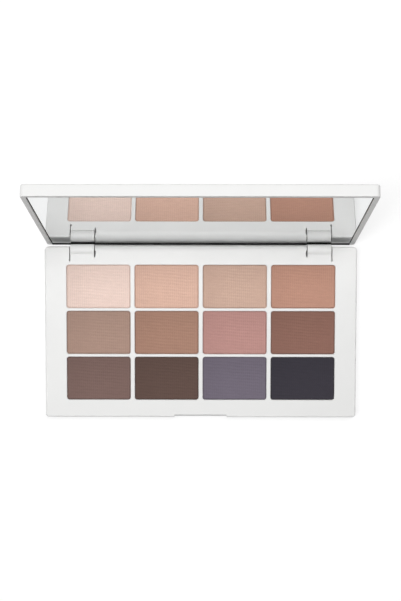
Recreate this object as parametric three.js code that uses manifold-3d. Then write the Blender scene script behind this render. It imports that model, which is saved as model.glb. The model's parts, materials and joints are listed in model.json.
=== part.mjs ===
// A flat hinged eyeshadow palette, standing open: twelve pressed powders in metal pans, a mirror in the lid.
// Millimetres, +Z up. The origin is the centre of the underside; +X runs along the hinge, +Y to the rear.
import * as THREE from "three";
import { mergeVertices } from "three/addons/utils/BufferGeometryUtils.js";
import Module from "manifold-3d";

const wasm = await Module();
wasm.setup();

// Base
const baseWidth = 130;
const baseDepth = 71.5;
const baseHeight = 8;
const baseCorner = 1.5;
const baseEdge = 0.7;
const baseWall = 1.6;
const deckThickness = 1.1;

// Wells for the pans: row 1 is the rear row, column 1 is on the left
const columns = 4;
const rows = 3;
const wellWidth = 26.75;
const wellDepth = 18.15;
const wellCorner = 1.1;
const columnPitch = 28.43;
const rowPitch = 19.25;
const rearMargin = 7.47;
const wellDrop = 4.4;

// Pans, powders and the glue under each pan
const panClearance = 0.1;
const panHeight = 3.7;
const panWall = 0.28;
const glueWidth = 14;
const glueDepth = 9;
const glueThickness = 0.2;
const glueCorner = 1.5;
const powderProud = 0.1;
const touch = 0.05; // gap left between pieces that bear on each other

// Hinge: its axis runs along X, in front of the rear wall and below the deck
const hingeInset = 1.6;
const hingeDrop = 2.6;
const openAngle = THREE.MathUtils.degToRad(105);
const barrelRadius = 2.6;
const barrelHalf = 44.1;
const barrelFront = 2.2; // how far the barrel's root reaches in front of the axis
const rollStart = 1.1; // where the deck starts to roll over, in front of the axis
const rollJoinAngle = THREE.MathUtils.degToRad(20);
const knuckleInner = 44.4;
const knuckleOuter = 54.4;
const pocketOuter = 54.7;
const pocketRadius = 2.75;
const pocketMouth = 1.5; // how far the pocket is open in front of the axis
const pocketSlot = 0.45;
const pocketSlotReach = 1.3;
const slotHoleRadius = 0.45; // round hole at the slot's front end
const biteRadius = 3.3; // curved bite out of each end of the barrel, seen from above
const biteDepth = 0.45;
const biteFront = 1.2; // its middle, in front of the axis
const pinRadius = 0.75;
const pinInnerEnd = 40.2;
const pinOuterEnd = 64.7;
const pinHoldClearance = 0.03;
const pinRunClearance = 0.06;
const stopRibWidth = 9;
const stopRibSpacing = 44;
const stopRibProud = 0.5;
const stopRibHeight = 1.1;
const stopRibTop = 3.4;

// Thumb notch in the front edge
const notchWidth = 22;
const notchReach = 1.15; // how far it reaches in from the front face at the deck
const notchDrop = 3.6; // how far below the deck it runs out at the front face

// Underside
const coverThickness = 1.4;
const coverClearance = 0.15;
const cavityHeight = 1;
const coverLedge = 1.2;
const cavityInset = 1;
const magnetPostInset = 0.3;
const labelWidth = 84;
const labelDepth = 22;
const labelThickness = 0.15;
const labelCorner = 0.8;
const labelMargin = 0.5;
const labelCentreY = -16;

// Closure magnets, two in the base's front margin and two behind the mirror
const magnetRadius = 2;
const magnetOffset = 40;
const magnetInset = 4.3;
const baseMagnetThickness = 2;
const lidMagnetThickness = 1.2;
const magnetClearance = 0.1;

// Lid, drawn closed with the hinge axis as its origin
const lidWidth = 128.7;
const lidDepth = baseDepth;
const lidThickness = 4.7;
const lidCorner = 1.5;
const lidEdge = 0.8;
const closedGap = 0.2;
const lidRim = 2.05;
const lidHingeRim = 0.9;
const lidWellCorner = 0.9;
const reliefRadius = 3;
const neckFront = 0.4;
const rootInset = 0.1;
const rootHeight = 0.8;

// Mirror
const mirrorRecess = 0.2;
const mirrorThickness = 1.5;
const mirrorClearance = 0.4;
const mirrorCorner = 0.6;
const tapeThickness = 0.2;
const tapeInset = 3;

const rearY = baseDepth / 2;
const wellFloor = baseHeight - wellDrop;
const axisY = rearY - hingeInset;
const axisZ = baseHeight - hingeDrop;
const lidPlane = hingeDrop + closedGap;
const lidCentreY = hingeInset - lidDepth / 2;
const lidWellWidth = lidWidth - 2 * lidRim;
const lidWellDepth = lidDepth - lidRim - lidHingeRim;
const lidWellCentreY = hingeInset - lidHingeRim - lidWellDepth / 2;
const overcut = 1;
const weldDistance = 1e-4;
const cornerSegments = 2;
const edgeCornerSegments = 3;
const edgeSegments = 3;
const profileSegments = 8;
const roundSegments = 24;
const sides = [
  { name: "left", sign: -1 },
  { name: "right", sign: 1 },
];

const plastic = { color: 0xecebea, roughness: 0.5, metalness: 0 };
const steel = { color: 0xb9b9b6, roughness: 0.35, metalness: 1 };
const tin = { color: 0xa9a7a3, roughness: 0.4, metalness: 1 };
const magnetCoat = { color: 0x8f9092, roughness: 0.3, metalness: 1 };
const silvered = { color: 0xdfe3e4, roughness: 0.03, metalness: 1 };
const adhesive = { color: 0xd8cfb4, roughness: 0.6, metalness: 0 };
const tape = { color: 0x3a3b3d, roughness: 0.8, metalness: 0 };
const paper = { color: 0xf4f3ef, roughness: 0.85, metalness: 0 };

// The shades, rear row first and left to right
const shades = [
  [0xead1c6, 0xdab4a2, 0xcbab9a, 0xbe917e],
  [0xac8f81, 0xaa8472, 0xbd9089, 0x8f695d],
  [0x7e6660, 0x634f48, 0x746c79, 0x3d3a42],
];

// ---- Shapes ----

function roundedRectangle(width, depth, radius) {
  const x = width / 2;
  const y = depth / 2;
  const shape = new THREE.Shape();
  shape.moveTo(-x + radius, -y);
  shape.lineTo(x - radius, -y);
  shape.absarc(x - radius, -y + radius, radius, -Math.PI / 2, 0, false);
  shape.lineTo(x, y - radius);
  shape.absarc(x - radius, y - radius, radius, 0, Math.PI / 2, false);
  shape.lineTo(-x + radius, y);
  shape.absarc(-x + radius, y - radius, radius, Math.PI / 2, Math.PI, false);
  shape.lineTo(-x, -y + radius);
  shape.absarc(-x + radius, -y + radius, radius, Math.PI, 1.5 * Math.PI, false);
  return shape;
}

// The stretch of X from inner to outer on one side, lowest end first.
function span(sign, inner, outer) {
  return sign < 0 ? [-outer, -inner] : [inner, outer];
}

// A rounded plate standing on z = 0.
function plate(width, depth, height, radius) {
  const options = { depth: height, bevelEnabled: false, curveSegments: cornerSegments };
  return new THREE.ExtrudeGeometry(roundedRectangle(width, depth, radius), options);
}

// The same plate with its upper and lower edges rounded.
function softPlate(width, depth, height, radius, edge) {
  const options = {
    depth: height - 2 * edge,
    bevelThickness: edge,
    bevelSize: edge,
    bevelOffset: -edge,
    bevelSegments: edgeSegments,
    curveSegments: edgeCornerSegments,
  };
  return new THREE.ExtrudeGeometry(roundedRectangle(width, depth, radius), options).translate(0, 0, edge);
}

function block(x0, x1, y0, y1, z0, z1) {
  const box = new THREE.BoxGeometry(x1 - x0, y1 - y0, z1 - z0);
  return box.translate((x0 + x1) / 2, (y0 + y1) / 2, (z0 + z1) / 2);
}

// A profile drawn in the YZ plane, run along X from x0 to x1.
function alongX(shape, x0, x1) {
  const options = { depth: x1 - x0, bevelEnabled: false, curveSegments: profileSegments };
  const turn = new THREE.Matrix4().makeBasis(
    new THREE.Vector3(0, 1, 0),
    new THREE.Vector3(0, 0, 1),
    new THREE.Vector3(1, 0, 0),
  );
  return new THREE.ExtrudeGeometry(shape, options).applyMatrix4(turn).translate(x0, 0, 0);
}

// A round bar along X about the line y = 0, z = 0.
function barAlongX(radius, x0, x1) {
  const bar = new THREE.CylinderGeometry(radius, radius, x1 - x0, roundSegments);
  return bar.rotateZ(Math.PI / 2).translate((x0 + x1) / 2, 0, 0);
}

// A disc standing on z = 0.
function disc(radius, height) {
  return new THREE.CylinderGeometry(radius, radius, height, roundSegments)
    .rotateX(Math.PI / 2)
    .translate(0, 0, height / 2);
}

// ---- Solids ----

function solid(geometry) {
  const bare = geometry.clone();
  bare.deleteAttribute("normal");
  bare.deleteAttribute("uv");
  const merged = mergeVertices(bare, weldDistance);
  return new wasm.Manifold(
    new wasm.Mesh({
      numProp: 3,
      vertProperties: new Float32Array(merged.attributes.position.array),
      triVerts: new Uint32Array(merged.index.array),
    }),
  );
}

function joined(body, additions) {
  return additions.reduce((whole, piece) => whole.add(solid(piece)), body);
}

function cut(body, tools) {
  return tools.reduce((whole, tool) => whole.subtract(solid(tool)), body);
}

function geometryOf(body) {
  const mesh = body.getMesh();
  const geometry = new THREE.BufferGeometry();
  geometry.setAttribute("position", new THREE.BufferAttribute(mesh.vertProperties, 3));
  geometry.setIndex(new THREE.BufferAttribute(mesh.triVerts, 1));
  const faceted = geometry.toNonIndexed();
  faceted.computeVertexNormals();
  return faceted;
}

function piece(name, geometry, finish, position = [0, 0, 0]) {
  const mesh = new THREE.Mesh(geometry, new THREE.MeshStandardMaterial(finish));
  mesh.name = name;
  mesh.position.set(...position);
  return mesh;
}

// ---- Base ----

function wellCentre(row, column) {
  const x = (column - (columns - 1) / 2) * columnPitch;
  const y = rearY - rearMargin - wellDepth / 2 - row * rowPitch;
  return [x, y];
}

function eachWell(visit) {
  const found = [];
  for (let row = 0; row < rows; row += 1) {
    for (let column = 0; column < columns; column += 1) {
      found.push(visit(row, column, ...wellCentre(row, column)));
    }
  }
  return found;
}

// The hinge's middle barrel: the deck runs level, then rolls over into a round behind the rear wall.
function barrelProfile() {
  const joinY = barrelRadius * Math.sin(rollJoinAngle);
  const joinZ = barrelRadius * Math.cos(rollJoinAngle);
  const bendY = joinY - (hingeDrop - joinZ) / Math.tan(rollJoinAngle);
  const shape = new THREE.Shape();
  shape.moveTo(-barrelFront, -barrelRadius);
  shape.lineTo(0, -barrelRadius);
  shape.absarc(0, 0, barrelRadius, -Math.PI / 2, Math.PI / 2 - rollJoinAngle, false);
  shape.quadraticCurveTo(bendY, hingeDrop, -rollStart, hingeDrop);
  shape.lineTo(-barrelFront, hingeDrop);
  return shape;
}

// The hollow that a lid knuckle turns in, open above and to the rear: the deck laps over its front.
function pocketProfile() {
  const lapAngle = Math.acos(-pocketMouth / pocketRadius);
  const shape = new THREE.Shape();
  shape.moveTo(hingeInset + overcut, -pocketRadius);
  shape.lineTo(hingeInset + overcut, hingeDrop + overcut);
  shape.lineTo(-pocketMouth, hingeDrop + overcut);
  shape.absarc(0, 0, pocketRadius, lapAngle, 1.5 * Math.PI, false);
  return shape;
}

function hingeCuts() {
  const top = hingeDrop + overcut;
  const cuts = [block(-barrelHalf, barrelHalf, -rollStart, hingeInset + overcut, 0, top)];
  for (const { sign } of sides) {
    const slot = span(sign, pocketOuter - pocketSlot, pocketOuter);
    const slotFront = -pocketRadius - pocketSlotReach;
    const hole = disc(slotHoleRadius, top);
    cuts.push(alongX(pocketProfile(), ...span(sign, barrelHalf, pocketOuter)));
    cuts.push(block(...slot, slotFront, 0, 0, top));
    cuts.push(hole.translate(sign * (pocketOuter - pocketSlot / 2), slotFront, 0));
  }
  return cuts.map((cutter) => cutter.translate(0, axisY, axisZ));
}

// A curved bite down through each end of the barrel, as far out as the knuckle's end.
function barrelBites() {
  const turn = Math.acos(1 - biteDepth / biteRadius);
  const reach = biteRadius * Math.sin(turn);
  const plan = new THREE.Shape();
  plan.moveTo(knuckleInner - barrelHalf, -reach);
  plan.lineTo(knuckleInner - barrelHalf, reach);
  plan.absarc(biteRadius - biteDepth, 0, biteRadius, Math.PI - turn, Math.PI + turn, false);
  const options = { depth: hingeDrop + pocketRadius, bevelEnabled: false, curveSegments: profileSegments };
  const bite = new THREE.ExtrudeGeometry(plan, options);
  return sides.map(({ sign }) => {
    const facing = sign < 0 ? bite.clone().rotateZ(Math.PI) : bite.clone();
    return facing.translate(sign * barrelHalf, axisY - biteFront, axisZ - barrelRadius);
  });
}

function pinBores() {
  const radius = pinRadius + pinHoldClearance;
  return sides.map(({ sign }) => {
    const bore = span(sign, pinInnerEnd - touch, baseWidth / 2 + overcut);
    return barAlongX(radius, ...bore).translate(0, axisY, axisZ);
  });
}

// Two low ribs under the barrel that the lid's inner rear edge comes to rest on.
function stopRibs() {
  return sides.map(({ sign }) => {
    const ends = span(sign, (stopRibSpacing - stopRibWidth) / 2, (stopRibSpacing + stopRibWidth) / 2);
    return block(...ends, rearY - overcut, rearY + stopRibProud, stopRibTop - stopRibHeight, stopRibTop);
  });
}

// A shallow scoop for the thumb: one slope from the deck down and out to the front face.
function thumbNotch() {
  const frontY = -rearY;
  const slope = notchDrop / notchReach;
  const profile = new THREE.Shape();
  profile.moveTo(frontY - overcut, baseHeight - notchDrop - overcut * slope);
  profile.lineTo(frontY + notchReach + overcut / slope, baseHeight + overcut);
  profile.lineTo(frontY - overcut, baseHeight + overcut);
  return alongX(profile, -notchWidth / 2, notchWidth / 2);
}

function magnetSpots() {
  return sides.map(({ name, sign }) => ({ name, x: sign * magnetOffset, y: -rearY + magnetInset }));
}

function undersideCuts() {
  const roomHeight = coverThickness + touch;
  const room = plate(baseWidth - 2 * baseWall, baseDepth - 2 * baseWall, roomHeight + overcut, baseCorner);
  const gridWidth = (columns - 1) * columnPitch + wellWidth;
  const gridDepth = (rows - 1) * rowPitch + wellDepth;
  const gridY = rearY - rearMargin - gridDepth / 2;
  const underWidth = gridWidth - 2 * cavityInset;
  const underDepth = gridDepth - 2 * cavityInset;
  const underWells = plate(underWidth, underDepth, roomHeight + cavityHeight, baseCorner);
  const cavityInner = gridWidth / 2 + deckThickness;
  const cavityOuter = baseWidth / 2 - baseWall - coverLedge;
  const cavityTop = baseHeight - deckThickness;
  const cuts = [room.translate(0, 0, -overcut), underWells.translate(0, gridY, 0)];
  for (const { sign } of sides) {
    const ends = span(sign, cavityInner, cavityOuter);
    cuts.push(block(...ends, gridY - gridDepth / 2, gridY + gridDepth / 2, 0, cavityTop));
  }
  for (const { x, y } of magnetSpots()) {
    cuts.push(disc(magnetRadius + magnetClearance, cavityTop).translate(x, y, 0));
  }
  return cuts;
}

function baseShell() {
  const wells = eachWell((row, column, x, y) =>
    plate(wellWidth, wellDepth, wellDrop + overcut, wellCorner).translate(x, y, wellFloor),
  );
  let body = solid(softPlate(baseWidth, baseDepth, baseHeight, baseCorner, baseEdge));
  body = cut(body, [...wells, ...hingeCuts(), thumbNotch(), ...undersideCuts()]);
  const barrel = alongX(barrelProfile(), -barrelHalf, barrelHalf).translate(0, axisY, axisZ);
  body = joined(body, [barrel, ...stopRibs()]);
  body = cut(body, [...barrelBites(), ...pinBores()]);
  return piece("base_shell", geometryOf(body), plastic);
}

// The plate that closes the underside, with a post under each magnet and a shallow bed for the label.
function bottomCover() {
  const width = baseWidth - 2 * (baseWall + coverClearance);
  const depth = baseDepth - 2 * (baseWall + coverClearance);
  const postTop = baseHeight - deckThickness - baseMagnetThickness - 2 * touch;
  const post = disc(magnetRadius - magnetPostInset, postTop);
  const posts = magnetSpots().map(({ x, y }) => post.clone().translate(x, y, 0));
  const bedWidth = labelWidth + 2 * labelMargin;
  const bedDepth = labelDepth + 2 * labelMargin;
  const bed = plate(bedWidth, bedDepth, labelThickness + 2 * touch + overcut, labelCorner);
  const body = joined(solid(plate(width, depth, coverThickness, baseCorner)), posts);
  return piece("bottom_cover", geometryOf(cut(body, [bed.translate(0, labelCentreY, -overcut)])), plastic);
}

function undersideLabel() {
  const sheet = plate(labelWidth, labelDepth, labelThickness, labelCorner);
  return piece("underside_label", sheet, paper, [0, labelCentreY, touch]);
}

function baseMagnets() {
  const z = baseHeight - deckThickness - baseMagnetThickness - touch;
  return magnetSpots().map(({ name, x, y }) =>
    piece(`base_magnet_${name}`, disc(magnetRadius, baseMagnetThickness), magnetCoat, [x, y, z]),
  );
}

function hingePins() {
  return sides.map(({ name, sign }) => {
    const bar = barAlongX(pinRadius, ...span(sign, pinInnerEnd, pinOuterEnd));
    return piece(`hinge_pin_${name}`, bar, steel, [0, axisY, axisZ]);
  });
}

// ---- Pans and powders ----

function panSet(row, column, x, y) {
  const place = `r${row + 1}c${column + 1}`;
  const width = wellWidth - 2 * panClearance;
  const depth = wellDepth - 2 * panClearance;
  const corner = wellCorner - panClearance;
  const panFloor = wellFloor + glueThickness + 2 * touch;
  const hollow = plate(width - 2 * panWall, depth - 2 * panWall, panHeight + overcut, corner - panWall);
  const pan = cut(solid(plate(width, depth, panHeight, corner)), [hollow.translate(0, 0, panWall)]);
  const inset = 2 * (panWall + touch);
  const powderHeight = panHeight - panWall - touch + powderProud;
  const powder = plate(width - inset, depth - inset, powderHeight, corner - panWall - touch);
  const shade = { color: shades[row][column], roughness: 0.9, metalness: 0 };
  const glue = plate(glueWidth, glueDepth, glueThickness, glueCorner);
  return [
    piece(`pan_${place}`, geometryOf(pan), tin, [x, y, panFloor]),
    piece(`powder_${place}`, powder, shade, [x, y, panFloor + panWall + touch]),
    piece(`pan_glue_${place}`, glue, adhesive, [x, y, wellFloor + touch]),
  ];
}

// ---- Lid ----

// A knuckle: a round about the hinge axis, a neck as high as the lid's plane, and a root up into its rim.
function knuckle(sign) {
  const [x0, x1] = span(sign, knuckleInner, knuckleOuter);
  const neck = block(x0, x1, -neckFront, hingeInset, 0, lidPlane);
  const rootFront = hingeInset - lidHingeRim + rootInset;
  const root = block(x0, x1, rootFront, hingeInset, 0, lidPlane + rootHeight);
  return [barAlongX(barrelRadius, x0, x1), neck, root];
}

function lidMagnetSpots() {
  return magnetSpots().map(({ name, x, y }) => ({ name, x, y: y - axisY }));
}

function lidShell() {
  const wellRoom = mirrorRecess + mirrorThickness + tapeThickness + 2 * touch;
  const magnetRoom = lidMagnetThickness + 2 * touch;
  const bottom = lidPlane - lidEdge;
  const blank = softPlate(lidWidth, lidDepth, lidThickness + lidEdge, lidCorner, lidEdge);
  const belowPlane = block(-lidWidth, lidWidth, -lidDepth, lidDepth, bottom - overcut, lidPlane);
  const well = plate(lidWellWidth, lidWellDepth, lidEdge + wellRoom, lidWellCorner);
  const pocket = disc(magnetRadius + magnetClearance, magnetRoom + overcut);
  const pocketZ = lidPlane + wellRoom - overcut;
  let body = cut(solid(blank.translate(0, lidCentreY, bottom)), [
    belowPlane,
    well.translate(0, lidWellCentreY, bottom),
    barAlongX(reliefRadius, -lidWidth, lidWidth),
    ...lidMagnetSpots().map(({ x, y }) => pocket.clone().translate(x, y, pocketZ)),
  ]);
  body = joined(body, sides.flatMap(({ sign }) => knuckle(sign)));
  const bores = sides.map(({ sign }) => {
    const ends = span(sign, knuckleInner - overcut, knuckleOuter + overcut);
    return barAlongX(pinRadius + pinRunClearance, ...ends);
  });
  return piece("lid_shell", geometryOf(cut(body, bores)), plastic);
}

function mirrorAndFixings() {
  const width = lidWellWidth - 2 * mirrorClearance;
  const depth = lidWellDepth - 2 * mirrorClearance;
  const mirrorZ = lidPlane + mirrorRecess;
  const tapeZ = mirrorZ + mirrorThickness + touch;
  const magnetZ = tapeZ + tapeThickness + 2 * touch;
  const glass = plate(width, depth, mirrorThickness, mirrorCorner);
  const sheet = plate(width - 2 * tapeInset, depth - 2 * tapeInset, tapeThickness, mirrorCorner);
  const magnet = disc(magnetRadius, lidMagnetThickness);
  return [
    piece("mirror", glass, silvered, [0, lidWellCentreY, mirrorZ]),
    piece("mirror_tape", sheet, tape, [0, lidWellCentreY, tapeZ]),
    ...lidMagnetSpots().map(({ name, x, y }) =>
      piece(`lid_magnet_${name}`, magnet.clone(), magnetCoat, [x, y, magnetZ]),
    ),
  ];
}

function lid() {
  const group = new THREE.Group();
  group.add(lidShell(), ...mirrorAndFixings());
  group.position.set(0, axisY, axisZ);
  group.rotation.x = -openAngle;
  return group;
}

const palette = new THREE.Group();
palette.add(baseShell(), bottomCover(), undersideLabel(), ...baseMagnets(), ...hingePins());
palette.add(...eachWell(panSet).flat());
palette.add(lid());

export default palette;
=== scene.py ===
"""Looks of the open eyeshadow palette: shells, pressed powders in tin pans, a silver-faced mirror, floor,
light and camera. A piece is in millimetres until it is finished, and the scene around it is in metres."""

import json
import math

import bmesh
import bpy
from mathutils import Matrix, Vector, noise


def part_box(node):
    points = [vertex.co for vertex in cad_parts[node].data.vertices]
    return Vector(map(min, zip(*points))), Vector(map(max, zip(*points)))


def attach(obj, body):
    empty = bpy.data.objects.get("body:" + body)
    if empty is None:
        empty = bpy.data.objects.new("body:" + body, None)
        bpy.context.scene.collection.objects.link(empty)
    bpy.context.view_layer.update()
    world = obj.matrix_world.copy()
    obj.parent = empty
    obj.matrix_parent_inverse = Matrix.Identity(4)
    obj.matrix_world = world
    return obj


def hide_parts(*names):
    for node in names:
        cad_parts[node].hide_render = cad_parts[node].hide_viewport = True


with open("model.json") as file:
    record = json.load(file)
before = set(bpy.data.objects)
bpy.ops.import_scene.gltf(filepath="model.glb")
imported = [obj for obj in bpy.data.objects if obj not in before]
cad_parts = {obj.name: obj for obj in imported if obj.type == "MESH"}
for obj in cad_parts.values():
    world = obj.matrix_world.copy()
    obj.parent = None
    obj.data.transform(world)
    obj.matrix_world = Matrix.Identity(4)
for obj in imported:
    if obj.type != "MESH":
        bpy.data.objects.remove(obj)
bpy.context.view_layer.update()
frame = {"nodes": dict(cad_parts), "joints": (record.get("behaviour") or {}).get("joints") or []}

MM = 0.001
HINGE = frame["joints"][0]
OPEN_ANGLE = math.radians(HINGE["range_deg"][1])
AXIS_Y = HINGE["pos_m"][1] / MM
AXIS_Z = HINGE["pos_m"][2] / MM


def node_box(name):
    """(lowest corner, highest corner) of a CAD node, in millimetres."""
    low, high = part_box(name)
    return low / MM, high / MM


# ---- Dimensions, in millimetres ----

COVER_LOW, COVER_HIGH = node_box("bottom_cover")
PIN_LOW, PIN_HIGH = node_box("hinge_pin_right")
MAGNET_LOW, MAGNET_HIGH = node_box("base_magnet_right")
LABEL_LOW, LABEL_HIGH = node_box("underside_label")

BASE_WIDTH = 2 * node_box("base_shell")[1].x
BASE_DEPTH = -2 * node_box("base_shell")[0].y
BASE_HEIGHT = node_box("base_shell")[1].z
BASE_CORNER = 1.5
BASE_EDGE = 0.7
REAR = BASE_DEPTH / 2
COVER_THICKNESS = 1.4
COVER_ROOM = 0.15
COVER_EDGE = 0.2
LABEL_MARGIN = 0.5  # of the label's bed in the cover, round the label
LABEL_BED_CORNER = 1.0
OVERCUT = 1  # how far a cutter runs past what it cuts
TOUCH = 0.05  # left between pieces that bear on each other

WELL_ROOM = 0.1  # between a pan's CAD solid and its well
RIM_ROOM = 0.03  # between a tray's rim and its well
WELL_CORNER = 1.1
WELL_DROP = 4.4
WELL_FILLET = 0.12
PAN_WALL = 0.28
PAN_EDGE = 0.2
PAN_RIM_STEPS = 8
CAKE_ROOM = 0.05  # between a powder's CAD solid and its pan
CAKE_FIT = 0.01  # between a cake and its tray

HINGE_INSET = REAR - AXIS_Y
HINGE_DROP = BASE_HEIGHT - AXIS_Z
BARREL_HALF = 44.1
BARREL_FRONT = 2.2  # how far its root reaches in front of the axis
BARREL_REAR = 2.36  # how far its round stands behind the axis
BARREL_FOOT = 1.5  # how far its rearmost line is below the axis
BARREL_UNDER = 1.2  # how far it rounds under from there
ROLL_START = 1.25  # where the deck starts to roll over, in front of the axis
ROLL_STEPS = 28
KNUCKLE_RADIUS = 2.6
KNUCKLE_INNER = 44.4
KNUCKLE_OUTER = 54.4
KNUCKLE_EDGE = 0.25
NECK_FRONT = 0.4
ROOT_INSET = 0.1
ROOT_HEIGHT = 0.8
ROOT_CORNER = 0.15
POCKET_OUTER = 54.7
POCKET_RADIUS = 2.72
POCKET_MOUTH = 1.5  # how far the pocket is open in front of the axis
SLOT_WIDTH = 0.45
SLOT_REACH = 1.3
SLOT_HOLE = 0.45
BITE_RADIUS = 3.3
BITE_DEPTH = 0.45
BITE_FRONT = 1.2  # its middle, in front of the axis
STOP_RIB_WIDTH = 9
STOP_RIB_SPACING = 44
STOP_RIB_PROUD = 0.5
STOP_RIB_HEIGHT = 1.1
STOP_RIB_TOP = 3.4
STOP_RIB_CORNER = 0.2
BORE_RADIUS = 0.78
KNUCKLE_BORE_RADIUS = 0.81
PIN_EDGE = 0.15
MAGNET_ROOM = 0.1

NOTCH_WIDTH = 22
NOTCH_REACH = 1.15
NOTCH_DROP = 3.6

LID_WIDTH = 2 * node_box("lid_shell")[1].x
LID_DEPTH = BASE_DEPTH
LID_THICKNESS = 4.7
LID_CORNER = 1.5
LID_EDGE = 0.8
LID_INNER_EDGE = 0.22
LID_RIM = 2.05
LID_HINGE_RIM = 0.9
LID_WELL_CORNER = 0.9
CLOSED_GAP = 0.2
LID_PLANE = HINGE_DROP + CLOSED_GAP  # the closed lid's underside, above the axis
LID_CENTRE_Y = HINGE_INSET - LID_DEPTH / 2
LID_WELL_WIDTH = LID_WIDTH - 2 * LID_RIM
LID_WELL_DEPTH = LID_DEPTH - LID_RIM - LID_HINGE_RIM
LID_WELL_CENTRE_Y = HINGE_INSET - LID_HINGE_RIM - LID_WELL_DEPTH / 2
RELIEF_RADIUS = 3.0
MIRROR_RECESS = 0.2
MIRROR_THICKNESS = 1.5
MIRROR_ROOM = 0.4
MIRROR_CORNER = 0.6
MIRROR_EDGE = 0.05
MIRROR_FACING = 0.9  # how squarely a face looks out of the lid to be silvered
SHADE_STRIP_WIDTH = 1.35  # painted shade: black strip of the mirror, along its hinge side, for the shadowed crevice there
SHADE_STRIP_DEPTH = 0.3  # how far down the knuckles' necks the black painted shade reaches
SHADE_STRIP_REACH = 0.02
TAPE_ROOM = 0.3
LID_MAGNET_DEPTH = 1.3
LID_WELL_FLOOR = LID_PLANE + MIRROR_RECESS + MIRROR_THICKNESS + TAPE_ROOM

CORNER_STEPS = 10
FILLET_STEPS = 6
ROUND_STEPS = 72
SMALLEST_RADIUS = 0.05
SHARP_ANGLE = 32  # degrees

# The powders' colours as seen, rear row first and left to right
SHADES = [
    ["ead1c6", "dab4a2", "cbab9a", "be917e"],
    ["ac8f81", "aa8472", "bd9089", "8f695d"],
    ["7e6660", "634f48", "746c79", "3d3a42"],
]


# ---- Mesh building ----


def rounded_outline(width, depth, corner, centre=(0, 0)):
    """A function of an inset that gives a rounded rectangle's points, always the same number of them."""

    def points(inset):
        radius = max(corner - inset, SMALLEST_RADIUS)
        half_x, half_y = width / 2 - inset - radius, depth / 2 - inset - radius
        found = []
        for quarter, (sx, sy) in enumerate([(1, 1), (-1, 1), (-1, -1), (1, -1)]):
            for step in range(CORNER_STEPS + 1):
                angle = (quarter + step / CORNER_STEPS) * math.pi / 2
                x = centre[0] + sx * half_x + radius * math.cos(angle)
                y = centre[1] + sy * half_y + radius * math.sin(angle)
                found.append((x, y))
        return found

    return points


def round_outline(radius):
    """The same for a circle about the origin."""

    def points(inset):
        size = radius - inset
        turns = [2 * math.pi * i / ROUND_STEPS for i in range(ROUND_STEPS)]
        return [(size * math.cos(a), size * math.sin(a)) for a in turns]

    return points


def edge_levels(low, high, low_edge=0.0, high_edge=0.0):
    """(inset, height) pairs of a wall from low to high, rounded at each end. A negative edge flares out."""
    levels = []
    steps = range(FILLET_STEPS + 1)
    for edge, height, way in ((low_edge, low, 1), (high_edge, high, -1)):
        size = abs(edge)
        turns = [math.pi / 2 * i / FILLET_STEPS for i in steps]
        if not size:
            found = [(0.0, height)]
        elif edge > 0:
            found = [(size * (1 - math.sin(t)), height + way * size * (1 - math.cos(t))) for t in turns]
        else:
            found = [(-size * (1 - math.sin(t)), height + way * size * math.sin(t)) for t in turns]
        levels += found if way == 1 else found[::-1]
    return levels


def stacked(outline, levels):
    """A closed solid whose rings are outline(inset) at each height."""
    bm = bmesh.new()
    rings = [[bm.verts.new((x, y, height)) for x, y in outline(inset)] for inset, height in levels]
    for below, above in zip(rings, rings[1:]):
        for i in range(len(below)):
            j = (i + 1) % len(below)
            bm.faces.new((below[i], below[j], above[j], above[i]))
    bm.faces.new(rings[0][::-1])
    bm.faces.new(rings[-1])
    return bm


def prism_along_x(profile, x0, x1):
    """A closed solid from a counter-clockwise profile in the YZ plane."""
    bm = bmesh.new()
    ends = [[bm.verts.new((x, y, z)) for y, z in profile] for x in (x0, x1)]
    for i in range(len(profile)):
        j = (i + 1) % len(profile)
        bm.faces.new((ends[0][i], ends[0][j], ends[1][j], ends[1][i]))
    bm.faces.new(ends[0][::-1])
    bm.faces.new(ends[1])
    return bm


def bar_along_x(radius, x0, x1, edge=0.0):
    """A round bar about the X axis, with rounded or square ends."""
    bm = stacked(round_outline(radius), edge_levels(x0, x1, edge, edge))
    bmesh.ops.transform(bm, matrix=Matrix.Rotation(math.pi / 2, 4, "Y"), verts=bm.verts)
    return bm


def arc(centre, radius, start, end, steps=24):
    """Points of an arc, with angles in degrees."""
    turns = [math.radians(start + (end - start) * i / steps) for i in range(steps + 1)]
    return [(centre[0] + radius * math.cos(t), centre[1] + radius * math.sin(t)) for t in turns]


def moved(bm, x, y, z=0.0):
    bmesh.ops.translate(bm, vec=Vector((x, y, z)), verts=bm.verts)
    return bm


def object_from(bm, name):
    bmesh.ops.recalc_face_normals(bm, faces=bm.faces)
    mesh = bpy.data.meshes.new(name)
    bm.to_mesh(mesh)
    bm.free()
    made = bpy.data.objects.new(name, mesh)
    bpy.context.scene.collection.objects.link(made)
    return made


def combine(target, operation, tools):
    """Joins or cuts target with each solid in turn, and removes the tools."""
    for bm in tools:
        tool = object_from(bm, "tool")
        modifier = target.modifiers.new("step", "BOOLEAN")
        modifier.operation = operation
        modifier.solver = "MANIFOLD"
        modifier.object = tool
        graph = bpy.context.evaluated_depsgraph_get()
        result = bpy.data.meshes.new_from_object(target.evaluated_get(graph))
        target.modifiers.clear()
        old = target.data
        target.data = result
        bpy.data.meshes.remove(old)
        tool_mesh = tool.data
        bpy.data.objects.remove(tool)
        bpy.data.meshes.remove(tool_mesh)


def split(made, place, normal):
    """Adds a line of edges where a plane crosses the mesh."""
    bm = bmesh.new()
    bm.from_mesh(made.data)
    everything = bm.verts[:] + bm.edges[:] + bm.faces[:]
    bmesh.ops.bisect_plane(bm, geom=everything, plane_co=place, plane_no=normal)
    bm.to_mesh(made.data)
    bm.free()


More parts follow.
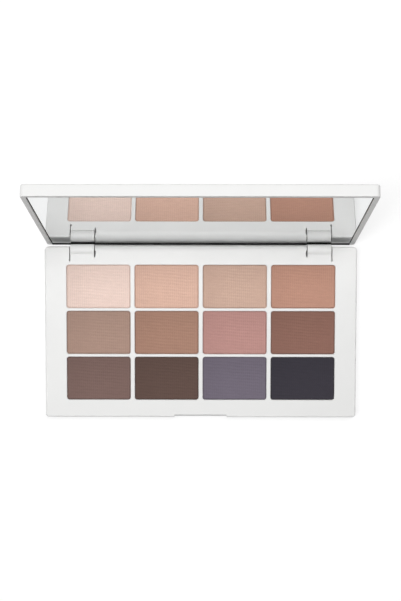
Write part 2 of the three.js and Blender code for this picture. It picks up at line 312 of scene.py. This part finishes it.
def finished(made, material, body, *nodes, turn=None, sharp=SHARP_ANGLE):
    """Scales to metres, marks the sharp edges, weights the normals, and seats the piece on its body."""
    if turn is not None:
        made.data.transform(turn)
    made.data.transform(Matrix.Scale(MM, 4))
    bm = bmesh.new()
    bm.from_mesh(made.data)
    bmesh.ops.dissolve_degenerate(bm, dist=1e-7, edges=bm.edges)
    for face in bm.faces:
        face.smooth = True
    for edge in bm.edges:
        edge.smooth = not edge.is_manifold or edge.calc_face_angle(0) < math.radians(sharp)
    bm.to_mesh(made.data)
    bm.free()
    weighted = made.modifiers.new("weighted", "WEIGHTED_NORMAL")
    weighted.keep_sharp = True
    made.data.materials.clear()
    made.data.materials.append(material)
    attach(made, body)
    if nodes:
        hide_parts(*nodes)


# ---- Materials, with noise in features per metre and relief in metres ----

# Material slot for black painted shade
PAINTED_SHADE_SLOT = 1
THREAD_PITCH = 0.00085
WAVE_PERIOD = math.pi / 10  # of a wave texture at scale 1
WHITE = (1, 1, 1, 1)
MIX_FACTOR, MIX_FIRST, MIX_SECOND = 0, 6, 7  # a colour Mix node's inputs
MIX_RESULT = 2


def linear(hex_colour, gain=1.0):
    """An sRGB hex colour as a linear RGBA."""
    channels = [int(hex_colour[i : i + 2], 16) / 255 for i in (0, 2, 4)]
    straight = [c / 12.92 if c <= 0.04045 else ((c + 0.055) / 1.055) ** 2.4 for c in channels]
    return [min(1.0, c * gain) for c in straight] + [1.0]


def new_material(name, roughness=0.5, metallic=0.0):
    material = bpy.data.materials.new(name)
    material.use_nodes = True
    shader = material.node_tree.nodes["Principled BSDF"]
    shader.inputs["Roughness"].default_value = roughness
    shader.inputs["Metallic"].default_value = metallic
    return material, shader


def add_node(material, kind, **values):
    """A node with some of its inputs or properties set by name."""
    made = material.node_tree.nodes.new(kind)
    for key, value in values.items():
        if key in made.inputs:
            made.inputs[key].default_value = value
        else:
            setattr(made, key, value)
    return made


def wire(material, *links):
    for source, target in links:
        material.node_tree.links.new(source, target)


def object_noise(material, scale, detail=4.0, roughness=0.55, stretch=(1, 1, 1)):
    """Noise in the piece's own coordinates, with scale in features per metre."""
    place = add_node(material, "ShaderNodeTexCoord")
    mapping = add_node(material, "ShaderNodeMapping")
    mapping.inputs["Scale"].default_value = stretch
    texture = add_node(material, "ShaderNodeTexNoise", Scale=scale, Detail=detail, Roughness=roughness)
    wire(
        material,
        (place.outputs["Object"], mapping.inputs["Vector"]),
        (mapping.outputs["Vector"], texture.inputs["Vector"]),
    )
    return texture.outputs["Fac"]


def remap(material, value, low, high, from_low=0.3, from_high=0.7):
    """A value brought from one range to another. The usual one is noise, which stays near its middle."""
    ranged = add_node(material, "ShaderNodeMapRange")
    for name, number in (("From Min", from_low), ("From Max", from_high), ("To Min", low), ("To Max", high)):
        ranged.inputs[name].default_value = number
    wire(material, (value, ranged.inputs["Value"]))
    return ranged.outputs["Result"]


def colour_between(material, factor, first, second):
    mix = add_node(material, "ShaderNodeMix", data_type="RGBA")
    mix.inputs[MIX_FIRST].default_value = first
    mix.inputs[MIX_SECOND].default_value = second
    wire(material, (factor, mix.inputs[MIX_FACTOR]))
    return mix.outputs[MIX_RESULT]


def add_bump(material, shader, height, distance, strength, base=None):
    bump = add_node(material, "ShaderNodeBump", Strength=strength, Distance=distance)
    wire(material, (height, bump.inputs["Height"]))
    if base is not None:
        wire(material, (base, bump.inputs["Normal"]))
    wire(material, (bump.outputs["Normal"], shader.inputs["Normal"]))
    return bump.outputs["Normal"]


def plastic_material():
    """White moulded plastic with a fine spark-eroded grain."""
    material, shader = new_material("case_plastic")
    tone = object_noise(material, 70, detail=3)
    shade = colour_between(material, tone, linear("dadad9"), linear("dededd"))
    grain = object_noise(material, 5200, detail=3, roughness=0.6)
    wire(
        material,
        (shade, shader.inputs["Base Color"]),
        (remap(material, object_noise(material, 420), 0.44, 0.56), shader.inputs["Roughness"]),
    )
    shader.inputs["Specular IOR Level"].default_value = 0.4
    add_bump(material, shader, grain, distance=0.000012, strength=0.6)
    return material


def painted_shade_gradient(material):
    """A factor over a cake's own box, painted shade: a little darker towards its rear and its left."""
    place = add_node(material, "ShaderNodeTexCoord")
    parts = add_node(material, "ShaderNodeSeparateXYZ")
    both = add_node(material, "ShaderNodeMath", operation="MULTIPLY")
    to_rear = remap(material, parts.outputs["Y"], 1.03, 0.93, from_low=0.35, from_high=1.0)
    from_left = remap(material, parts.outputs["X"], 0.94, 1.0, from_low=0.0, from_high=0.4)
    wire(
        material,
        (place.outputs["Generated"], parts.inputs["Vector"]),
        (to_rear, both.inputs[0]),
        (from_left, both.inputs[1]),
    )
    return both.outputs["Value"]


def pressed_threads(material):
    """Fine bands across the ribs, as the cloth under a press leaves them, from 0 to 1."""
    place = add_node(material, "ShaderNodeTexCoord")
    bands = add_node(material, "ShaderNodeTexWave", bands_direction="X", Distortion=1.6)
    bands.inputs["Scale"].default_value = WAVE_PERIOD / THREAD_PITCH
    bands.inputs["Detail Scale"].default_value = 0.3
    wire(material, (place.outputs["Object"], bands.inputs["Vector"]))
    return bands.outputs["Fac"]


def multiplied(material, first, second):
    """Two colours, or a colour and a factor, multiplied."""
    mix = add_node(material, "ShaderNodeMix", data_type="RGBA", blend_type="MULTIPLY")
    mix.inputs[MIX_FACTOR].default_value = 1.0
    wire(material, (first, mix.inputs[MIX_FIRST]), (second, mix.inputs[MIX_SECOND]))
    return mix.outputs[MIX_RESULT]


def powder_material(name, hex_colour):
    """Pressed pigment: a fine mottled grain, faint streaks and a cloth's threads, with little gloss."""
    material, shader = new_material(name, roughness=0.9)
    grain = object_noise(material, 3400, detail=6, roughness=0.7)
    streak = object_noise(material, 700, detail=3, roughness=0.6, stretch=(0.22, 1, 1))
    cloud = object_noise(material, 640, detail=4, roughness=0.6, stretch=(0.5, 1, 1))
    mottling = remap(material, grain, 0, 1, from_low=0.25, from_high=0.75)
    dark, light = linear(hex_colour, gain=0.79), linear(hex_colour, gain=1.02)
    mottled = colour_between(material, mottling, dark, light)
    threads = pressed_threads(material)
    banding = remap(material, threads, 0.96, 1.03, from_low=0, from_high=1)
    # tone: painted shade, darker towards the rear and the left, times the threads' banding
    tone = multiplied(material, painted_shade_gradient(material), banding)
    clouds = colour_between(material, cloud, (0.88, 0.88, 0.885, 1), WHITE)
    pigment = multiplied(material, multiplied(material, mottled, clouds), tone)
    wire(
        material,
        (pigment, shader.inputs["Base Color"]),
        (remap(material, grain, 0.82, 0.96), shader.inputs["Roughness"]),
    )
    shader.inputs["Specular IOR Level"].default_value = 0.12
    shader.inputs["Sheen Weight"].default_value = 0.03
    shader.inputs["Sheen Roughness"].default_value = 0.5
    fine = add_bump(material, shader, grain, distance=0.00003, strength=0.6)
    drawn = add_bump(material, shader, streak, distance=0.00005, strength=0.5, base=fine)
    add_bump(material, shader, threads, distance=0.00004, strength=0.5, base=drawn)
    return material


def pan_material(name, hex_colour):
    """Tin plate whose rim is rubbed over with its own powder, so that little bare metal shows."""
    material, shader = new_material(name)
    dust = remap(material, object_noise(material, 900, detail=5, roughness=0.65), 0.86, 1.0)
    bright = add_node(material, "ShaderNodeMath", operation="SUBTRACT")
    bright.inputs[0].default_value = 1.0
    dusted = colour_between(material, dust, linear("b4b0ab"), linear(hex_colour, gain=0.85))
    wire(
        material,
        (dusted, shader.inputs["Base Color"]),
        (dust, bright.inputs[1]),
        (bright.outputs["Value"], shader.inputs["Metallic"]),
        (remap(material, dust, 0.6, 0.9, from_low=0.86, from_high=1.0), shader.inputs["Roughness"]),
    )
    return material


def metal_material(name, dark, light, smooth, rough, stretch=(1, 1, 1)):
    """Bare metal whose colour and roughness follow its drawing or plating marks."""
    material, shader = new_material(name, roughness=0.3, metallic=1.0)
    marks = object_noise(material, 1500, detail=5, roughness=0.6, stretch=stretch)
    wire(
        material,
        (colour_between(material, marks, linear(dark), linear(light)), shader.inputs["Base Color"]),
        (remap(material, marks, smooth, rough), shader.inputs["Roughness"]),
    )
    add_bump(material, shader, marks, distance=0.000004, strength=0.4)
    return material


def silver_material():
    """The mirror's silver face, almost perfectly smooth."""
    material, shader = new_material("mirror_silver", roughness=0.02, metallic=1.0)
    cloud = object_noise(material, 40, detail=2)
    wire(
        material,
        (colour_between(material, cloud, linear("e2e3e3"), linear("e7e8e8")), shader.inputs["Base Color"]),
        (remap(material, cloud, 0.008, 0.018), shader.inputs["Roughness"]),
    )
    return material


def grained_material(name, dark, light, roughness, scale, relief, stretch=(1, 1, 1)):
    """Paper, foam tape, set glue or black painted shade: two tones, a grain and its relief."""
    material, shader = new_material(name, roughness)
    grain = object_noise(material, scale, detail=6, roughness=0.65, stretch=stretch)
    spread = 0.08
    wire(
        material,
        (colour_between(material, grain, linear(dark), linear(light)), shader.inputs["Base Color"]),
        (remap(material, grain, roughness - spread, min(1, roughness + spread)), shader.inputs["Roughness"]),
    )
    add_bump(material, shader, grain, distance=relief, strength=0.6)
    return material


PLASTIC = plastic_material()
# Black painted shade for the crevice at the mirror's hinge side and the gap round the mirror
PAINTED_SHADE_BLACK = grained_material("painted_shade_black", "010101", "030303", roughness=0.85, scale=900, relief=0.00002)

# ---- Base ----


def well_box(row, column):
    """Middle and size of a well, from its pan's box."""
    low, high = node_box(f"pan_r{row + 1}c{column + 1}")
    size = high - low
    return (low + high) / 2, size.x + 2 * WELL_ROOM, size.y + 2 * WELL_ROOM


def places():
    """Row and column of every powder."""
    return [(row, column) for row in range(len(SHADES)) for column in range(len(SHADES[0]))]


def span(sign, inner, outer):
    """The ends of a stretch along X, on the right or mirrored to the left, in rising order."""
    return (inner, outer) if sign > 0 else (-outer, -inner)


def well_cutters():
    cutters = []
    for row, column in places():
        middle, width, depth = well_box(row, column)
        outline = rounded_outline(width, depth, WELL_CORNER, (middle.x, middle.y))
        levels = edge_levels(BASE_HEIGHT - WELL_DROP, BASE_HEIGHT, 0.0, -WELL_FILLET)
        levels.append((-WELL_FILLET, BASE_HEIGHT + OVERCUT))
        cutters.append(stacked(outline, levels))
    return cutters


def hinge_cutters():
    """The roll behind the deck, the knuckles' pockets, and the slot and hole at each pocket's outer end."""
    reach = HINGE_INSET + OVERCUT
    above = HINGE_DROP + OVERCUT
    roll = [(-ROLL_START, 0), (reach, 0), (reach, above), (-ROLL_START, above)]
    lap = math.degrees(math.acos(-POCKET_MOUTH / POCKET_RADIUS))
    pocket = arc((0, 0), POCKET_RADIUS, lap, 270)
    pocket += [(reach, -POCKET_RADIUS), (reach, above), (-POCKET_MOUTH, above)]
    slot_front = -POCKET_RADIUS - SLOT_REACH
    slot = [(slot_front, 0), (0, 0), (0, above), (slot_front, above)]
    cutters = [prism_along_x(roll, -BARREL_HALF, BARREL_HALF)]
    for sign in (-1, 1):
        cutters.append(prism_along_x(pocket, *span(sign, BARREL_HALF, POCKET_OUTER)))
        cutters.append(prism_along_x(slot, *span(sign, POCKET_OUTER - SLOT_WIDTH, POCKET_OUTER)))
        hole = stacked(round_outline(SLOT_HOLE), edge_levels(0, above))
        cutters.append(moved(hole, sign * (POCKET_OUTER - SLOT_WIDTH / 2), slot_front))
    return [moved(cutter, 0, AXIS_Y, AXIS_Z) for cutter in cutters]


def barrel():
    """The middle barrel: level with the deck, then rolled over into a round behind the rear wall."""
    across = ROLL_START + BARREL_REAR
    turns = [math.pi / 2 * (i / ROLL_STEPS - 1) for i in range(2 * ROLL_STEPS + 1)]
    around = []
    for t in turns:
        height = BARREL_UNDER if t < 0 else HINGE_DROP + BARREL_FOOT
        around.append((-ROLL_START + across * math.cos(t), -BARREL_FOOT + height * math.sin(t)))
    profile = [(-BARREL_FRONT, -BARREL_FOOT - BARREL_UNDER)] + around + [(-BARREL_FRONT, HINGE_DROP)]
    return moved(prism_along_x(profile, -BARREL_HALF, BARREL_HALF), 0, AXIS_Y, AXIS_Z)


def barrel_bites():
    """A curved bite down through each end of the barrel, as far out as the knuckle's end."""
    turn = math.degrees(math.acos(1 - BITE_DEPTH / BITE_RADIUS))
    curve = arc((BITE_RADIUS - BITE_DEPTH, 0), BITE_RADIUS, 180 - turn, 180 + turn)
    gap = KNUCKLE_INNER - BARREL_HALF
    plan = [(gap, curve[-1][1]), (gap, curve[0][1])] + curve
    levels = edge_levels(-POCKET_RADIUS, HINGE_DROP + OVERCUT)
    bites = []
    for sign in (-1, 1):
        points = [(sign * x, sign * y) for x, y in plan]
        bite = stacked(lambda inset, outline=points: outline, levels)
        bites.append(moved(bite, sign * BARREL_HALF, AXIS_Y - BITE_FRONT, AXIS_Z))
    return bites


def stop_ribs():
    """Two low ribs under the barrel that the lid comes to rest on."""
    depth = OVERCUT + STOP_RIB_PROUD
    ribs = []
    for sign in (-1, 1):
        middle = (sign * STOP_RIB_SPACING / 2, REAR + STOP_RIB_PROUD - depth / 2)
        outline = rounded_outline(STOP_RIB_WIDTH, depth, STOP_RIB_CORNER, middle)
        ribs.append(stacked(outline, edge_levels(STOP_RIB_TOP - STOP_RIB_HEIGHT, STOP_RIB_TOP)))
    return ribs


def notch_cutter():
    """The thumb scoop: one slope from the deck down and out to the front face."""
    front = -REAR
    slope = NOTCH_DROP / NOTCH_REACH
    profile = [
        (front - OVERCUT, BASE_HEIGHT - NOTCH_DROP - slope * OVERCUT),
        (front + NOTCH_REACH + OVERCUT / slope, BASE_HEIGHT + OVERCUT),
        (front - OVERCUT, BASE_HEIGHT + OVERCUT),
    ]
    return prism_along_x(profile, -NOTCH_WIDTH / 2, NOTCH_WIDTH / 2)


def underside_cutters():
    """The bed of the bottom cover, and a pocket for each magnet."""
    room = COVER_THICKNESS + TOUCH
    width = COVER_HIGH.x - COVER_LOW.x + 2 * COVER_ROOM
    depth = COVER_HIGH.y - COVER_LOW.y + 2 * COVER_ROOM
    cutters = [stacked(rounded_outline(width, depth, BASE_CORNER), edge_levels(-OVERCUT, room))]
    radius = (MAGNET_HIGH.x - MAGNET_LOW.x) / 2 + MAGNET_ROOM
    middle = (MAGNET_LOW + MAGNET_HIGH) / 2
    for sign in (-1, 1):
        pocket = stacked(round_outline(radius), edge_levels(0, MAGNET_HIGH.z + TOUCH))
        cutters.append(moved(pocket, sign * middle.x, middle.y, 0))
    return cutters


def base_shell():
    outline = rounded_outline(BASE_WIDTH, BASE_DEPTH, BASE_CORNER)
    made = object_from(stacked(outline, edge_levels(0, BASE_HEIGHT, BASE_EDGE, BASE_EDGE)), "base_case")
    combine(made, "DIFFERENCE", well_cutters() + hinge_cutters() + [notch_cutter()] + underside_cutters())
    combine(made, "UNION", [barrel()] + stop_ribs())
    bores = []
    for sign in (-1, 1):
        bore = bar_along_x(BORE_RADIUS, *span(sign, PIN_LOW.x - TOUCH, BASE_WIDTH / 2 + OVERCUT))
        bores.append(moved(bore, 0, AXIS_Y, AXIS_Z))
    combine(made, "DIFFERENCE", barrel_bites() + bores)
    finished(made, PLASTIC, "base", "base_shell")


def bottom_cover():
    size = COVER_HIGH - COVER_LOW
    outline = rounded_outline(size.x, size.y, BASE_CORNER)
    made = object_from(stacked(outline, edge_levels(0, COVER_THICKNESS, COVER_EDGE)), "underside_cover")
    label = LABEL_HIGH - LABEL_LOW
    middle = (LABEL_LOW + LABEL_HIGH) / 2
    bed_width, bed_depth = label.x + 2 * LABEL_MARGIN, label.y + 2 * LABEL_MARGIN
    bed_outline = rounded_outline(bed_width, bed_depth, LABEL_BED_CORNER, (middle.x, middle.y))
    combine(made, "DIFFERENCE", [stacked(bed_outline, edge_levels(-OVERCUT, LABEL_HIGH.z + TOUCH))])
    finished(made, PLASTIC, "base", "bottom_cover")


def hinge_pins(material):
    radius = (PIN_HIGH.y - PIN_LOW.y) / 2
    for name, sign in (("left", -1), ("right", 1)):
        bar = bar_along_x(radius, *span(sign, PIN_LOW.x, PIN_HIGH.x), edge=PIN_EDGE)
        made = object_from(moved(bar, 0, AXIS_Y, AXIS_Z), f"pin_{name}")
        finished(made, material, "base", f"hinge_pin_{name}")


# ---- Pans and powders ----

BORDER_WIDTH = 0.7  # of the smooth border round the ribs
BORDER_SLOPE = 0.35
BORDER_DROP = 0.05
POWDER_EDGE = 0.12
RIB_PITCH = 1.29
RIB_SLANT = 0.07
RIB_DEPTH = 0.11
RIB_SWAYS = ((0.22, 0.12), (0.06, 0.5))  # (part of a pitch, noise features per millimetre)
DISH_DEPTH = 0.1
WAVE_DEPTH = 0.02
WAVE_SCALE = 0.5
CAKE_COLUMNS = 104
CAKE_ROWS = 72
CAKE_CROWDING = 0.14  # how much finer the grid gets towards the edges
CAKE_SHARP_ANGLE = 70
ROW_SEED = 3.7
COLUMN_SEED = 11.3


def powder_height(x, y, half_x, half_y, seed):
    """Drop of the pressed face below its top: a rounded edge, a smooth border, a ribbed, dished middle."""
    inside = min(half_x - abs(x), half_y - abs(y))
    drop = 0.0
    if inside < POWDER_EDGE:
        drop += POWDER_EDGE - math.sqrt(max(0.0, POWDER_EDGE**2 - (POWDER_EDGE - inside) ** 2))
    rise = min(1.0, max(0.0, (inside - BORDER_WIDTH) / BORDER_SLOPE))
    rise = rise * rise * (3 - 2 * rise)
    drop += BORDER_DROP * (1 - rise)
    place = Vector((x, y, seed))
    sway = sum(part * noise.noise(place * scale) for part, scale in RIB_SWAYS)
    ribs = math.sin(2 * math.pi * (y / RIB_PITCH + RIB_SLANT * x / RIB_PITCH + sway))
    drop += RIB_DEPTH * rise * (1 - ribs) / 2
    drop += DISH_DEPTH * (1 - (x / half_x) ** 2) * (1 - (y / half_y) ** 2)
    drop += WAVE_DEPTH * (1 + noise.noise(place * WAVE_SCALE)) / 2
    return drop


def spread(i, count, half):
    """Place i of count over -half to half: even steps in the middle and finer ones at both ends."""
    t = 2 * i / count - 1
    return half * ((1 - CAKE_CROWDING) * t + CAKE_CROWDING * math.sin(t * math.pi / 2))


def close_below(bm, grid, height):
    """Walls from a grid's rim down to a height, and a floor there."""
    right = [line[-1] for line in grid[:-1]]
    left = [line[0] for line in grid[:0:-1]]
    rim = grid[0][:-1] + right + grid[-1][:0:-1] + left
    foot = [bm.verts.new((v.co.x, v.co.y, height)) for v in rim]
    for i in range(len(rim)):
        j = (i + 1) % len(rim)
        bm.faces.new((rim[j], rim[i], foot[i], foot[j]))
    bm.faces.new(foot[::-1])


def powder(row, column, material):
    """A cake of powder as a closed grid: each line of it ends on the rounded outline."""
    low, high = node_box(f"powder_r{row + 1}c{column + 1}")
    middle = (low + high) / 2
    grown = WELL_ROOM - RIM_ROOM + CAKE_ROOM - CAKE_FIT
    half_x, half_y = (high.x - low.x) / 2 + grown, (high.y - low.y) / 2 + grown
    corner = WELL_CORNER - RIM_ROOM - PAN_WALL
    seed = ROW_SEED * row + COLUMN_SEED * column
    bm = bmesh.new()
    grid = []
    for j in range(CAKE_ROWS + 1):
        y = spread(j, CAKE_ROWS, half_y)
        past = max(0.0, abs(y) - (half_y - corner))
        reach = half_x - corner + math.sqrt(max(0.0, corner**2 - past**2))
        line = []
        for i in range(CAKE_COLUMNS + 1):
            x = spread(i, CAKE_COLUMNS, reach)
            z = high.z - powder_height(x * half_x / reach, y, half_x, half_y, seed)
            line.append(bm.verts.new((middle.x + x, middle.y + y, z)))
        grid.append(line)
    for near, far in zip(grid, grid[1:]):
        for i in range(CAKE_COLUMNS):
            bm.faces.new((near[i], near[i + 1], far[i + 1], far[i]))
    close_below(bm, grid, low.z)
    made = object_from(bm, f"cake_r{row + 1}c{column + 1}")
    finished(made, material, "base", f"powder_r{row + 1}c{column + 1}", sharp=CAKE_SHARP_ANGLE)


def pan(row, column, material):
    """A drawn tray: one stack that goes up the outside, over the rim and down the inside."""
    low, high = node_box(f"pan_r{row + 1}c{column + 1}")
    middle, size = (low + high) / 2, high - low
    fit = 2 * (WELL_ROOM - RIM_ROOM)
    outline = rounded_outline(size.x + fit, size.y + fit, WELL_CORNER - RIM_ROOM, (middle.x, middle.y))
    rim = PAN_WALL / 2
    levels = edge_levels(low.z, high.z - rim, PAN_EDGE)
    turns = [math.pi * i / PAN_RIM_STEPS for i in range(1, PAN_RIM_STEPS + 1)]
    levels += [(rim - rim * math.cos(t), high.z - rim + rim * math.sin(t)) for t in turns]
    levels.append((PAN_WALL, low.z + PAN_WALL))
    made = object_from(stacked(outline, levels), f"tray_r{row + 1}c{column + 1}")
    finished(made, material, "base", f"pan_r{row + 1}c{column + 1}")


# ---- Lid, built closed about the hinge axis and then turned open ----

OPENED = Matrix.Translation((0, AXIS_Y, AXIS_Z)) @ Matrix.Rotation(-OPEN_ANGLE, 4, "X")


def lid_knuckles():
    """Each a round about the hinge axis, a neck as high as the lid's plane, and a root up into its rim."""
    parts = []
    root_front = HINGE_INSET - LID_HINGE_RIM + ROOT_INSET
    for sign in (-1, 1):
        x0, x1 = span(sign, KNUCKLE_INNER, KNUCKLE_OUTER)
        parts.append(bar_along_x(KNUCKLE_RADIUS, x0, x1, edge=KNUCKLE_EDGE))
        for front, top in ((-NECK_FRONT, LID_PLANE), (root_front, LID_PLANE + ROOT_HEIGHT)):
            middle = ((x0 + x1) / 2, (front + HINGE_INSET) / 2)
            outline = rounded_outline(x1 - x0, HINGE_INSET - front, ROOT_CORNER, middle)
            parts.append(stacked(outline, edge_levels(0, top)))
    return parts


def lid_cutters():
    """The mirror's well with its flared mouth, the relief along the hinge, and the magnets' pockets."""
    well = rounded_outline(LID_WELL_WIDTH, LID_WELL_DEPTH, LID_WELL_CORNER, (0, LID_WELL_CENTRE_Y))
    levels = [(-LID_INNER_EDGE, LID_PLANE - OVERCUT)]
    levels += edge_levels(LID_PLANE, LID_WELL_FLOOR, -LID_INNER_EDGE, 0.0)
    cutters = [stacked(well, levels), bar_along_x(RELIEF_RADIUS, -LID_WIDTH, LID_WIDTH)]
    radius = (MAGNET_HIGH.x - MAGNET_LOW.x) / 2 + MAGNET_ROOM
    middle = (MAGNET_LOW + MAGNET_HIGH) / 2
    pocket_levels = edge_levels(LID_WELL_FLOOR - OVERCUT, LID_WELL_FLOOR + LID_MAGNET_DEPTH)
    for sign in (-1, 1):
        pocket = stacked(round_outline(radius), pocket_levels)
        cutters.append(moved(pocket, sign * middle.x, middle.y - AXIS_Y, 0))
    return cutters


def lid_shell():
    outline = rounded_outline(LID_WIDTH, LID_DEPTH, LID_CORNER, (0, LID_CENTRE_Y))
    top = LID_PLANE + LID_THICKNESS
    made = object_from(stacked(outline, edge_levels(LID_PLANE, top, LID_INNER_EDGE, LID_EDGE)), "lid_case")
    combine(made, "DIFFERENCE", lid_cutters())
    combine(made, "UNION", lid_knuckles())
    bores = []
    for sign in (-1, 1):
        ends = span(sign, KNUCKLE_INNER - OVERCUT, KNUCKLE_OUTER + OVERCUT)
        bores.append(bar_along_x(KNUCKLE_BORE_RADIUS, *ends))
    combine(made, "DIFFERENCE", bores)
    for across in (-LID_WELL_WIDTH / 2, LID_WELL_WIDTH / 2):
        split(made, (across, 0, 0), (1, 0, 0))
    split(made, (0, HINGE_INSET - LID_HINGE_RIM, 0), (0, 1, 0))
    finished(made, PLASTIC, "lid", "lid_shell", turn=OPENED)
    # The well round the mirror and the rim by the hinge get black painted shade, for the shadowed gap and
    # crevice.
    made.data.materials.append(PAINTED_SHADE_BLACK)
    closed = OPENED.inverted()
    for face in made.data.polygons:
        place = closed @ (face.center / MM)
        face.material_index = PAINTED_SHADE_SLOT if in_painted_shade(place) else 0


def in_painted_shade(place):
    """Whether a place on the closed lid takes black painted shade: the walls of the well round the mirror,
    or the rim by the hinge.
    """
    if abs(place.x) > LID_WELL_WIDTH / 2 + SHADE_STRIP_REACH or place.z > LID_WELL_FLOOR + SHADE_STRIP_REACH:
        return False
    beside_mirror = abs(place.y - LID_WELL_CENTRE_Y) < LID_WELL_DEPTH / 2 + SHADE_STRIP_REACH
    if beside_mirror and place.z > LID_PLANE + LID_INNER_EDGE:
        return True
    behind = -NECK_FRONT - SHADE_STRIP_REACH < place.y < HINGE_INSET - SHADE_STRIP_REACH
    return behind and place.z > LID_PLANE - SHADE_STRIP_DEPTH


def mirror():
    """A plate with a silver face, with black painted shade on its edges and in a strip along its hinge side.
    """
    width = LID_WELL_WIDTH - 2 * MIRROR_ROOM
    depth = LID_WELL_DEPTH - 2 * MIRROR_ROOM
    outline = rounded_outline(width, depth, MIRROR_CORNER, (0, LID_WELL_CENTRE_Y))
    front = LID_PLANE + MIRROR_RECESS
    levels = edge_levels(front, front + MIRROR_THICKNESS, MIRROR_EDGE)
    made = object_from(stacked(outline, levels), "mirror_plate")
    # The strip along the hinge side takes black painted shade.
    shade_strip_from = LID_WELL_CENTRE_Y + depth / 2 - SHADE_STRIP_WIDTH
    split(made, (0, shade_strip_from, 0), (0, 1, 0))
    finished(made, silver_material(), "lid", "mirror", turn=OPENED)
    made.data.materials.append(PAINTED_SHADE_BLACK)
    back = OPENED.to_3x3() @ Vector((0, 0, 1))
    closed = OPENED.inverted()
    for face in made.data.polygons:
        place = closed @ (face.center / MM)
        silvered = face.normal.dot(back) < -MIRROR_FACING and place.y < shade_strip_from
        face.material_index = 0 if silvered else PAINTED_SHADE_SLOT


# ---- Everything together ----


def build_object():
    steel = metal_material("pin_steel", "5c5c5a", "767673", smooth=0.42, rough=0.55, stretch=(0.1, 1, 1))
    nickel = metal_material("magnet_nickel", "8b8c8e", "a8a9ab", smooth=0.2, rough=0.34)
    glue = grained_material("set_glue", "cfc4a4", "ddd4bb", roughness=0.5, scale=600, relief=0.00005)
    foam = grained_material("foam_tape", "26272a", "3c3d40", roughness=0.85, scale=2400, relief=0.00004)
    paper = grained_material(
        "label_paper", "efeee9", "f7f6f3", roughness=0.85, scale=1600, relief=0.00001, stretch=(1, 0.4, 1)
    )
    base_shell()
    bottom_cover()
    hinge_pins(steel)
    for row, column in places():
        place = f"r{row + 1}c{column + 1}"
        powder(row, column, powder_material(f"powder_{place}", SHADES[row][column]))
        pan(row, column, pan_material(f"tin_{place}", SHADES[row][column]))
        cad_finish(f"pan_glue_{place}", glue)
    lid_shell()
    mirror()
    for name in ("base_magnet_left", "base_magnet_right", "lid_magnet_left", "lid_magnet_right"):
        cad_finish(name, nickel)
    cad_finish("mirror_tape", foam)
    cad_finish("underside_label", paper)


def cad_finish(node, material):
    """A CAD node that stays as it is gets its own material."""
    mesh = frame["nodes"][node].data
    mesh.materials.clear()
    mesh.materials.append(material)


# ---- Floor, backdrop, light and camera, in metres ----

FLOOR_SIZE = 6
WALL_RADIUS = 2.9
WALL_HEIGHT = 1.85
WALL_FOOT = -0.01
GLOW = 0.7  # light that the floor and the wall give of their own
WORLD_STRENGTH = 0.04
LAMP_PLACE = (-0.12, 0.19, 1.1)
LAMP_TARGET = (0, 0.03, 0)
LAMP_SIZE = (1.2, 0.3)
LAMP_POWER = 15.7
CAMERA_PLACE = (0.00224, 0.04441, 0.45987)
CAMERA_TURN = (-3.924, 0.299, 0.062)  # degrees
LENS = 65.09


def glowing_white(name, roughness, scale, specular):
    """A pale matte surface that gives some light of its own, as a light table does."""
    material, shader = new_material(name, roughness)
    tone = object_noise(material, scale, detail=2)
    pale = colour_between(material, tone, linear("959595"), linear("979797"))
    wire(material, (pale, shader.inputs["Base Color"]))
    shader.inputs["Emission Color"].default_value = WHITE
    shader.inputs["Emission Strength"].default_value = GLOW
    shader.inputs["Specular IOR Level"].default_value = specular
    return material


def floor():
    bpy.ops.mesh.primitive_plane_add(size=FLOOR_SIZE)
    plane = bpy.context.object
    plane.name = "floor"
    plane.data.materials.append(glowing_white("floor_white", roughness=0.75, scale=3, specular=0.1))


def backdrop():
    """A pale round wall far behind every view, which only direct sight and reflections meet."""
    middle = (0, 0, WALL_FOOT + WALL_HEIGHT / 2)
    bpy.ops.mesh.primitive_cylinder_add(
        vertices=96, radius=WALL_RADIUS, depth=WALL_HEIGHT, end_fill_type="NOTHING", location=middle
    )
    wall = bpy.context.object
    wall.name = "backdrop"
    wall.data.materials.append(glowing_white("backdrop_white", roughness=0.9, scale=1, specular=0.0))
    wall.visible_diffuse = False
    wall.visible_transmission = False
    wall.visible_shadow = False


def area_light(name, place, target, size, power):
    data = bpy.data.lights.new(name, "AREA")
    data.shape = "RECTANGLE"
    data.size, data.size_y = size
    data.energy = power
    lamp = bpy.data.objects.new(name, data)
    bpy.context.scene.collection.objects.link(lamp)
    lamp.location = place
    lamp.rotation_euler = (Vector(target) - Vector(place)).to_track_quat("-Z", "Y").to_euler()


def studio():
    world = bpy.data.worlds.new("studio")
    world.use_nodes = True
    background = world.node_tree.nodes["Background"]
    background.inputs["Color"].default_value = WHITE
    background.inputs["Strength"].default_value = WORLD_STRENGTH
    bpy.context.scene.world = world
    area_light("overhead", LAMP_PLACE, LAMP_TARGET, LAMP_SIZE, LAMP_POWER)


def camera():
    """Almost straight above, over the hinge, as the palette is seen from in front of a table."""
    data = bpy.data.cameras.new("camera")
    data.sensor_width = 36
    data.lens = LENS
    data.clip_start, data.clip_end = 0.01, 20
    view = bpy.data.objects.new("camera", data)
    bpy.context.scene.collection.objects.link(view)
    view.location = CAMERA_PLACE
    view.rotation_euler = [math.radians(angle) for angle in CAMERA_TURN]
    bpy.context.scene.camera = view


camera()
build_object()
floor()
backdrop()
studio()
bpy.context.scene.view_settings.view_transform = "Standard"
